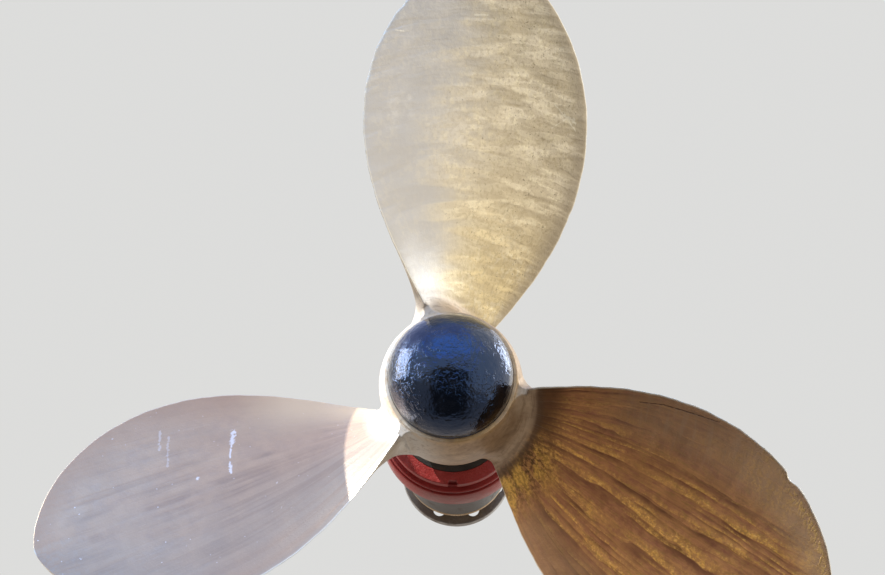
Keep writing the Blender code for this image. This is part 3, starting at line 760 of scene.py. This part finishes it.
cap_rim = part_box("cap")[1].y
dome_aft = cap_rim - CAP_SKIRT
cap_outline = [
    (CAP_RADIUS - CAP_WALL, cap_rim - CAP_INSIDE_DEPTH),
    (CAP_RADIUS - CAP_WALL, cap_rim),
    (CAP_RADIUS - CAP_RIM_ROUND, cap_rim),
    (CAP_RADIUS - CAP_RIM_ROUND * 0.3, cap_rim - CAP_RIM_ROUND * 0.3),
    (CAP_RADIUS, cap_rim - CAP_RIM_ROUND),
    *bevelled(CAP_RADIUS, dome_aft, -DOME_INSET, 0.004)[::-1],
]
for step in range(1, DOME_STEPS):
    angle = pi / 2 * step / DOME_STEPS
    bulge = (CAP_HEIGHT - CAP_SKIRT) * sin(angle)
    cap_outline.append(((CAP_RADIUS - DOME_INSET) * cos(angle), dome_aft - bulge))
cap_outline.append((AXIS_GAP, cap_rim - CAP_HEIGHT))


def turned_piece(name, outline, steps):
    """A piece turned from an outline of (radius, along)."""
    return placed(name, sharpened(closed_mesh(name, *turned_block(outline, steps)), 40))


cap = turned_piece("cap_fine", cap_outline, 144)
coat = {"Coat_Weight": 0.25, "Coat_Roughness": 0.04}
# The enamel's blue specular tint is a painted reflection of blue sky; the black base colour is the enamel's
# own
enamel = start_material("brushed black enamel", 0, 0.1, IOR=1.8, Specular_Tint=(0.2, 0.42, 1, 1), **coat)
dull = blotch(0.05, 6, 0.4, 0.7)
runs = times(blotch(0.022, 9, 0.46, 0.6, 3), blotch(0.14, 14, 0.42, 0.58, 2))
brush_marks = noise(own_place(Scale=(9, 34, 48), Rotation=(0.2, 0.45, 0)), 3, Distortion=0.5)
feed(mixed(dull, (0.003, 0.003, 0.004), (0.009, 0.009, 0.011)), "Base Color")
feed(eased(dull, 0.06, 0.16), "Roughness")
emboss((brush_marks, 0.0007), (blotch(0.06, 3, 0.3, 0.7, 3), 0.0024), (runs, 0.0012))
cap.data.materials.append(enamel)
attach(cap, "rotor")
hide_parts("cap")


# Rubber: the cap's joint ring and the seal ring in the boss's forward recess, cut from sheet and moulded.
def dress(material, *names):
    """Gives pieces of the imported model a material."""
    for name in names:
        nodes[name].data.materials.clear()
        nodes[name].data.materials.append(material)


rubber = start_material("black rubber", 0, 0.7)
feed(mixed(blotch(0.02, 1), (0.016, 0.016, 0.017), (0.03, 0.029, 0.028)), "Base Color")
emboss((noise(own_place(), scale=900), 0.0003))
dress(rubber, "cap_joint_ring", "shaft_seal_ring")


# Turned bronze: nut, liner, bushes, check ring and gland, all bored and faced in the lathe. The lines of its
# tool run round the shaft.
lathe_lines, spacing, seed = start_group("lathe lines", "Spacing Seed", "Lines")
apart = add("SeparateXYZ", [own_place()])
off_line = sums("SUBTRACT", apart[2], shaft_height)
from_line = sums("SQRT", sums("ADD", times(apart[0], apart[0]), times(off_line, off_line)))
line_place = vector_of(sums("DIVIDE", from_line, spacing), sums("DIVIDE", apart[1], spacing), seed)
feed(noise(line_place), "Lines")


def turned_metal(name, first, second, roughness, spacing, seed):
    """Lathe-turned metal: rings from the tool, and a little tarnish that dulls it."""
    made = start_material(name, 0.95, roughness)
    lines = add("Group", (spacing, seed), node_tree=lathe_lines)[0]
    stain = blotch(0.06, seed, 0.42, 0.66)
    in_lines = tuple(part * 0.7 for part in first)
    feed(mixed(times(lines, 0.3), mixed(stain, first, second), in_lines), "Base Color")
    feed(eased(stain, roughness, roughness + 0.18), "Roughness")
    emboss((lines, spacing * 0.25), strength=0.5)
    return made


turned_bronze = turned_metal("turned bronze", (0.62, 0.43, 0.2), (0.42, 0.27, 0.12), 0.26, 0.0016, 2)
dress(turned_bronze, "propeller_nut", "aft_bearing_bush", "stave_check_ring", "forward_bearing_bush")


# The tail shaft: one steel forging, turned all over, with a taper and key for the propeller aft and a
# coupling flange forward. The bronze liner is shrunk on where it runs in the bearings.
SHAFT_RADIUS = 0.14
LINER_RADIUS = 0.156
COUPLING_RADIUS = 0.25
COUPLING_THICKNESS = 0.07
COUPLING_FILLET = 0.016
COUPLING_BOLTS = 8
COUPLING_BOLT_RADIUS = 0.028
COUPLING_PITCH_RADIUS = 0.2
THREAD_RADIUS = 0.0962
THREAD_LENGTH = 0.15
THREAD_CHAMFER = 0.008
BEVEL = 0.003
FIT_GAP = 0.0003

coupling_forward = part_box("tail_shaft")[1].y
coupling_aft = coupling_forward - COUPLING_THICKNESS
nut_seat = boss_aft_face + NUT_RECESS_DEPTH
thread_aft = nut_seat - THREAD_LENGTH
shaft_outline = [
    (AXIS_GAP, coupling_forward),
    *bevelled(COUPLING_RADIUS, coupling_forward, -BEVEL, -BEVEL),
    *bevelled(COUPLING_RADIUS, coupling_aft, -BEVEL, BEVEL)[::-1],
]
for step in range(7):
    angle = pi / 2 * step / 6
    fillet_radius = SHAFT_RADIUS + COUPLING_FILLET * (1 - sin(angle))
    shaft_outline.append((fillet_radius, coupling_aft - COUPLING_FILLET * (1 - cos(angle))))
shaft_outline += [
    (SHAFT_RADIUS, boss_forward_face - SEAL_RECESS_DEPTH),
    (BORE_AFT_RADIUS - 0.0006, nut_seat),
    (THREAD_RADIUS, nut_seat),
    *bevelled(THREAD_RADIUS, thread_aft, -THREAD_CHAMFER, THREAD_CHAMFER)[::-1],
    (AXIS_GAP, thread_aft),
]
tail_shaft = turned_piece("tail_shaft_fine", shaft_outline, 128)


def bolt_circle(count, radius, first_turn=0):
    """The centre (x, z) of each place on a circle round the shaft line."""
    for number in range(count):
        angle = first_turn + tau * number / count
        yield radius * sin(angle), shaft_height + radius * cos(angle)


def rod_mesh(name, outline, place, steps, sides=None):
    """A small turned mesh on its own axis along the shaft's direction, closed at both ends."""
    return closed_mesh(name, *turned_block(outline, steps, 0, place, sides))


def gathered(name, meshes):
    """Small like meshes joined in one."""
    bm = bmesh.new()
    for mesh in meshes:
        bm.from_mesh(mesh)
        bpy.data.meshes.remove(mesh)
    joined = bpy.data.meshes.new(name)
    bm.to_mesh(joined)
    bm.free()
    return joined


def cut(piece, cutter_mesh):
    """Takes a cutter's shape out of a piece for good."""
    cutter = placed(cutter_mesh.name, cutter_mesh)
    step = piece.modifiers.new("cut", "BOOLEAN")
    step.operation = "DIFFERENCE"
    step.solver = "EXACT"
    step.object = cutter
    graph = bpy.context.evaluated_depsgraph_get()
    done = bpy.data.meshes.new_from_object(piece.evaluated_get(graph))
    piece.modifiers.clear()
    piece.data = done
    bpy.data.objects.remove(cutter)
    sharpened(done).materials.clear()


hole_outline = [
    (COUPLING_BOLT_RADIUS + 0.003, coupling_aft - 0.001),
    (COUPLING_BOLT_RADIUS, coupling_aft + 0.002),
    (COUPLING_BOLT_RADIUS, coupling_forward - 0.002),
    (COUPLING_BOLT_RADIUS + 0.003, coupling_forward + 0.001),
]
hole_places = bolt_circle(COUPLING_BOLTS, COUPLING_PITCH_RADIUS, pi / COUPLING_BOLTS)
hole_meshes = [rod_mesh("coupling_hole", hole_outline, place, 40) for place in hole_places]
cut(tail_shaft, gathered("coupling_holes", hole_meshes))
turned_steel = turned_metal("turned steel", (0.27, 0.26, 0.25), (0.17, 0.14, 0.12), 0.34, 0.0018, 5)
tail_shaft.data.materials.append(turned_steel)
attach(tail_shaft, "rotor")
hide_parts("tail_shaft")
dress(turned_steel, "shaft_key", "nut_stopper")

liner_low, liner_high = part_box("shaft_liner")
liner_outline = [
    (SHAFT_RADIUS + FIT_GAP, liner_high.y),
    *bevelled(LINER_RADIUS, liner_high.y, -BEVEL, -BEVEL),
    (LINER_RADIUS, liner_low.y),
    (SHAFT_RADIUS + FIT_GAP, liner_low.y),
    (SHAFT_RADIUS + FIT_GAP, liner_high.y),
]
liner = turned_piece("shaft_liner_fine", liner_outline, 128)
liner.data.materials.append(turned_bronze)
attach(liner, "rotor")
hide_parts("shaft_liner")


# The stern boss: the swelling of the cast-steel stern frame that holds the tube, faced and grooved aft and
# brushed with many coats of red bottom paint. The slotted ring nut behind it draws the tube home.
STERN_BOSS_RADIUS = 0.315
SPIGOT_RADIUS = 0.279
SPIGOT_LENGTH = 0.027
BAND_RADIUS = 0.305
BAND_LENGTH = 0.024
GROOVE_RADIUS = 0.295
GROOVE_WIDTH = 0.01
WIDE_BEVEL = 0.004
TUBE_RADIUS = 0.235
COLLAR_RADIUS = 0.257
COLLAR_LENGTH = 0.04
TUBE_NUT_RADIUS = 0.288
NUT_SLOTS = 6
NUT_SLOT_WIDTH = 0.04
NUT_SLOT_DEPTH = 0.02
NUT_SLOT_ROUND = 0.004

tube_seat = TUBE_RADIUS + FIT_GAP
spigot_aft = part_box("stern_boss")[0].y
band_aft = spigot_aft + SPIGOT_LENGTH
groove_aft = band_aft + BAND_LENGTH
groove_forward = groove_aft + GROOVE_WIDTH
stern_boss_outline = [
    (STERN_BOSS_RADIUS, 0),
    *bevelled(STERN_BOSS_RADIUS, groove_forward, -BEVEL, WIDE_BEVEL)[::-1],
    (GROOVE_RADIUS + 0.002, groove_forward - 0.001),
    (GROOVE_RADIUS, groove_forward - BEVEL),
    (GROOVE_RADIUS, groove_aft + BEVEL),
    (GROOVE_RADIUS + 0.002, groove_aft + 0.001),
    *bevelled(BAND_RADIUS, groove_aft, -BEVEL, -BEVEL),
    *bevelled(BAND_RADIUS, band_aft, -WIDE_BEVEL, WIDE_BEVEL)[::-1],
    *bevelled(SPIGOT_RADIUS, band_aft, WIDE_BEVEL, -WIDE_BEVEL),
    *bevelled(SPIGOT_RADIUS, spigot_aft, -0.002, 0.002)[::-1],
    (tube_seat, spigot_aft),
    (tube_seat, -COLLAR_LENGTH),
    (COLLAR_RADIUS + FIT_GAP, -COLLAR_LENGTH),
    (COLLAR_RADIUS + FIT_GAP, 0),
    (STERN_BOSS_RADIUS, 0),
]
stern_boss = turned_piece("stern_boss_fine", stern_boss_outline, 144)

tube_nut_low, tube_nut_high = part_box("stern_tube_nut")
tube_nut_outline = [
    (tube_seat, tube_nut_high.y),
    *bevelled(TUBE_NUT_RADIUS, tube_nut_high.y, -BEVEL, -BEVEL),
    *bevelled(TUBE_NUT_RADIUS, tube_nut_low.y, -WIDE_BEVEL, WIDE_BEVEL)[::-1],
    (tube_seat, tube_nut_low.y),
    (tube_seat, tube_nut_high.y),
]
tube_nut = turned_piece("stern_tube_nut_fine", tube_nut_outline, 144)
slot_centre = (0, (tube_nut_low.y + tube_nut_high.y) / 2, TUBE_NUT_RADIUS)
slot_meshes = []
for number in range(NUT_SLOTS):
    block = bmesh.new()
    bmesh.ops.create_cube(block, size=1)
    bmesh.ops.scale(block, vec=(NUT_SLOT_WIDTH, 0.2, 2 * NUT_SLOT_DEPTH), verts=block.verts)
    long_edges = [edge for edge in block.edges if abs(edge.verts[0].co.y - edge.verts[1].co.y) > 0.1]
    bmesh.ops.bevel(block, geom=long_edges, offset=NUT_SLOT_ROUND, segments=3, affect="EDGES")
    bmesh.ops.translate(block, vec=slot_centre, verts=block.verts)
    turn = Matrix.Rotation(tau * number / NUT_SLOTS, 3, "Y")
    bmesh.ops.rotate(block, cent=(0, 0, 0), matrix=turn, verts=block.verts)
    bmesh.ops.translate(block, vec=(0, 0, shaft_height), verts=block.verts)
    slot_meshes.append(bpy.data.meshes.new("slot"))
    block.to_mesh(slot_meshes[-1])
    block.free()
cut(tube_nut, gathered("nut_slots", slot_meshes))

red_paint = start_material("red bottom paint", 0, 0.45, Coat_Weight=0.15, Coat_Roughness=0.25)
brushed = blotch(0.25, 3, 0.3, 0.7)
chalk = blotch(0.035, 8, 0.56, 0.72)
chips = blotch(0.018, 12, 0.66, 0.69, 3)
red = mixed(brushed, (0.25, 0.014, 0.014), (0.33, 0.025, 0.023))
red = mixed(times(chalk, 0.3), red, (0.4, 0.11, 0.1))
feed(mixed(times(chips, 0.75), red, (0.11, 0.018, 0.016)), "Base Color")
feed(eased(brushed, 0.36, 0.55), "Roughness")
orange_peel = blotch(0.008, 5, 0.3, 0.75, 3)
paint_runs = noise(own_place(Scale=(160, 160, 25)))
emboss((paint_runs, 0.0008), (orange_peel, 0.0012), (chips, -0.0006), strength=0.7)
for piece, node in ((stern_boss, "stern_boss"), (tube_nut, "stern_tube_nut")):
    piece.data.materials.append(red_paint)
    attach(piece, "stern")
    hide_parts(node)


# The stern tube: cast iron, black varnished outside, drawn against its collar in the boss.
TUBE_BORE = 0.2

tube_low, tube_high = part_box("stern_tube")
collar_aft = FIT_GAP - COLLAR_LENGTH
stern_tube_outline = [
    (TUBE_BORE + BEVEL, tube_high.y),
    *bevelled(TUBE_RADIUS, tube_high.y, -BEVEL, -BEVEL),
    *bevelled(TUBE_RADIUS, 0, 0.006, 0.006)[::-1],
    (COLLAR_RADIUS, 0),
    (COLLAR_RADIUS, collar_aft),
    (TUBE_RADIUS, collar_aft),
    *bevelled(TUBE_RADIUS, tube_low.y, -BEVEL, BEVEL)[::-1],
    *bevelled(TUBE_BORE, tube_low.y, BEVEL, BEVEL),
    *bevelled(TUBE_BORE, tube_high.y, BEVEL, -BEVEL)[::-1],
]
stern_tube = turned_piece("stern_tube_fine", stern_tube_outline, 128)
cast_iron = start_material("varnished cast iron", 0.25, 0.5)
rust = blotch(0.05, 4, 0.55, 0.75)
iron = mixed(blotch(0.2, 1), (0.03, 0.029, 0.03), (0.052, 0.048, 0.046))
feed(mixed(times(rust, 0.7), iron, (0.12, 0.05, 0.022)), "Base Color")
feed(eased(rust, 0.42, 0.8), "Roughness")
emboss((blotch(0.006, 2, 0.3, 0.8, 3), 0.0009), strength=0.6)
stern_tube.data.materials.append(cast_iron)
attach(stern_tube, "stern")
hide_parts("stern_tube")


# Lignum vitae: the staves that the liner runs on, end-grain hardwood that water keeps slippery.
hardwood = start_material("lignum vitae", 0, 0.5)
wood_grain = noise(own_place(Scale=(140, 12, 140)), 4)
feed(mixed(between(wood_grain, 0.35, 0.65), (0.045, 0.028, 0.014), (0.15, 0.098, 0.045)), "Base Color")
emboss((wood_grain, 0.0006))
dress(hardwood, "bearing_staves")


# The stuffing box: plaited hemp rings soaked in tallow, squeezed by a bronze gland that six studs and nuts
# draw towards the tube's forward end.
GLAND_STUDS = 6
GLAND_STUD_RADIUS = 0.008
GLAND_NUT_RADIUS = 0.0145
GLAND_PITCH_RADIUS = 0.2165
GLAND_FLANGE = 0.036
GLAND_BORE = 0.16
GLAND_RADIUS = 0.232
GLAND_NOSE_RADIUS = 0.1997
STUD_REACH = 0.022
THREAD_DEPTH = 0.0008

hemp = start_material("greased hemp", 0, 0.75)
plait = add("TexVoronoi", {"Vector": own_place(), "Scale": 160})["Distance"]
feed(mixed(between(plait, 0.1, 0.7), (0.34, 0.27, 0.15), (0.11, 0.08, 0.04)), "Base Color")
emboss((plait, 0.0015))
dress(hemp, *(f"packing_ring_{number}" for number in range(1, 5)))

gland_low, gland_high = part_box("packing_gland")
flange_aft = gland_high.y - GLAND_FLANGE
gland_outline = [
    *bevelled(GLAND_RADIUS, gland_high.y, -BEVEL, -BEVEL),
    *bevelled(GLAND_RADIUS, flange_aft, -BEVEL, BEVEL)[::-1],
    (GLAND_NOSE_RADIUS, flange_aft),
    (GLAND_NOSE_RADIUS, gland_low.y),
    (GLAND_BORE, gland_low.y),
    *bevelled(GLAND_BORE, gland_high.y, WIDE_BEVEL, -WIDE_BEVEL)[::-1],
    (GLAND_RADIUS - BEVEL, gland_high.y),
]
gland = turned_piece("packing_gland_fine", gland_outline, 128)
gland.data.materials.append(turned_bronze)
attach(gland, "stern")
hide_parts("packing_gland")

stud_forward = gland_high.y + STUD_REACH
stud_outline = [(GLAND_STUD_RADIUS, tube_high.y - 0.004), (GLAND_STUD_RADIUS, gland_high.y + 0.012)]
for thread in range(4):
    along = gland_high.y + 0.013 + thread * 0.002
    stud_outline += [(GLAND_STUD_RADIUS - THREAD_DEPTH, along), (GLAND_STUD_RADIUS, along + 0.001)]
stud_outline += [(GLAND_STUD_RADIUS, stud_forward - 0.001), (GLAND_STUD_RADIUS - 0.0012, stud_forward)]
nut_outline = [
    (GLAND_NUT_RADIUS - 0.0015, gland_high.y + 0.0002),
    (GLAND_NUT_RADIUS, gland_high.y + 0.0012),
    (GLAND_NUT_RADIUS, gland_high.y + 0.0112),
    (GLAND_NUT_RADIUS - 0.0018, gland_high.y + 0.0126),
]
stud_places = list(bolt_circle(GLAND_STUDS, GLAND_PITCH_RADIUS))
stud_meshes = [rod_mesh("stud", stud_outline, place, 24) for place in stud_places]
nut_meshes = [rod_mesh("nut", nut_outline, place, 24, 6) for place in stud_places]
for name, meshes, finish, slot in (
    ("gland_studs", stud_meshes, turned_steel, "forged_steel"),
    ("gland_nuts", nut_meshes, turned_bronze, "turned_bronze"),
):
    piece = placed(name, sharpened(gathered(name, meshes)))
    piece.data.materials.append(finish)
    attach(piece, "stern")


# Stage: a pale studio floor well below, with a plain pale surround. Large soft lights stand in for open sky.
FLOOR_HEIGHT = -2.9
FLOOR_REACH = 40

corners = [(FLOOR_REACH * x, FLOOR_REACH * y, 0) for x, y in ((-1, -1), (1, -1), (1, 1), (-1, 1))]
floor_mesh = bpy.data.meshes.new("studio_floor")
floor_mesh.from_pydata(corners, [], [(0, 1, 2, 3)])
floor = placed("studio_floor", floor_mesh)
floor.location = (0, 0, FLOOR_HEIGHT)
glow = {"Emission_Color": (0.53, 0.523, 0.487, 1), "Emission_Strength": 1}
floor_finish = start_material("pale studio floor", 0, 0.9, Base_Color=(0.16, 0.15, 0.13, 1), **glow)
feed(sums("SUBTRACT", 1, add("NewGeometry")["Backfacing"]), "Alpha")
floor_mesh.materials.append(floor_finish)
floor.visible_glossy = False
floor.visible_diffuse = False

world = bpy.data.worlds.new("studio surround")
bpy.context.scene.world = world
world.use_nodes = True
tree = world.node_tree
ends = tree.nodes["Background"].inputs
way_x, way_y, way_z = add("SeparateXYZ", [add("TexCoord")["Generated"]])
sideways = sums("ABSOLUTE", way_x)
to_starboard = between(way_x, 0.1, 0.5)
straight_aft = times(between(way_y, -0.2, -0.5), between(sideways, 0.7, 0.35))
ground_line = sums("MULTIPLY_ADD", to_starboard, 0.42, way_z)
dark_below = times(between(way_z, 0.14, 0), between(way_y, 0.1, -0.2), between(sideways, 0.68, 0.36))
sky = mixed(between(way_z, 0.28, 0.68), (1, 0.97, 0.92), (0.74, 0.82, 1.2))
for share, light in (
    (to_starboard, (1.3, 1.22, 1.1)),
    (times(straight_aft, between(way_z, 0.4, 0.55), between(way_z, 0.97, 0.85)), (0.95, 1.6, 2.9)),
    (times(between(way_z, 0.5, 0.4), straight_aft), (1.15, 1.15, 1.15)),
    (between(ground_line, 0.05, -0.15), (0.52, 0.45, 0.39)),
    (dark_below, (0.06, 0.055, 0.05)),
    (add("LightPath")["Is Camera Ray"], (0.72, 0.72, 0.71)),
):
    sky = mixed(share, sky, light)
feed(sky, "Color")


def aimed_lamp(name, kind, place, aim, power, colour, **settings):
    """A lamp pointed from its place at another."""
    light = bpy.data.lights.new(name, kind)
    light.energy = power
    light.color = colour
    for setting, value in settings.items():
        setattr(light, setting, value)
    lamp = placed(name, light)
    lamp.location = place
    lamp.rotation_mode = "QUATERNION"
    lamp.rotation_quaternion = (Vector(aim) - Vector(place)).to_track_quat("-Z", "Y")
    return lamp


SUNLIGHT = (1.0, 0.96, 0.90)
hub = (0, blade_plane, shaft_height)
aimed_lamp("key_light", "AREA", (-8, -0.5, 3), hub, 800, SUNLIGHT, size=5)
aimed_lamp("rim_light", "AREA", (6.9, 4.3, 4.3), hub, 250, (0.88, 0.94, 1), size=3.6)

# Low sun falls on the boss and on the root of the port blade as a narrow, upright sheet of light, so the
# lamp's cone is flattened and turned about its own axis
SUN_AIM = (-0.3396, -1.05, 0.3412)
SUN_LONG_ANGLE = radians(18.14)
SUN_FLATNESS = 0.206
SUN_ROLL = 2.4605

sun_lamp = aimed_lamp("low_sun", "SPOT", (-5, -3, 6.5), SUN_AIM, 5600, SUNLIGHT, spot_size=SUN_LONG_ANGLE)
sun_lamp.data.spot_blend = 0.03
sun_lamp.data.shadow_soft_size = 0.008
sun_lamp.rotation_quaternion = sun_lamp.rotation_quaternion @ Quaternion((0, 0, 1), SUN_ROLL)
sun_lamp.scale = (1, SUN_FLATNESS, 1)
sunlit = bpy.data.collections.new("pieces in the sun")
for piece in bpy.context.scene.objects:
    if piece.type == "MESH" and piece != floor:
        sunlit.objects.link(piece)
sun_lamp.light_linking.receiver_collection = sunlit

# The camera stands below and aft of the propeller, a little to starboard, and looks up at it
CAMERA_PLACE = (0.1677, blade_plane - 10.777, shaft_height - 2.4127)
CAMERA_YAW = -0.0193
CAMERA_PITCH = 0.2577
CAMERA_ROLL = 0.0099
FOCAL_PIXELS = 2747.8
PHOTO_WIDTH = 885
SENSOR_WIDTH = 36

camera_data = bpy.data.cameras.new("camera")
camera_data.sensor_width = SENSOR_WIDTH
camera_data.lens = FOCAL_PIXELS / PHOTO_WIDTH * SENSOR_WIDTH
camera = placed("camera", camera_data)
yawed = Matrix.Rotation(-CAMERA_YAW, 4, "Z")
pitched = Matrix.Rotation(pi / 2 + CAMERA_PITCH, 4, "X")
rolled = Matrix.Rotation(CAMERA_ROLL, 4, "Z")
camera.matrix_world = Matrix.Translation(CAMERA_PLACE) @ yawed @ pitched @ rolled
bpy.context.scene.camera = camera
bpy.context.scene.view_settings.view_transform = "Standard"
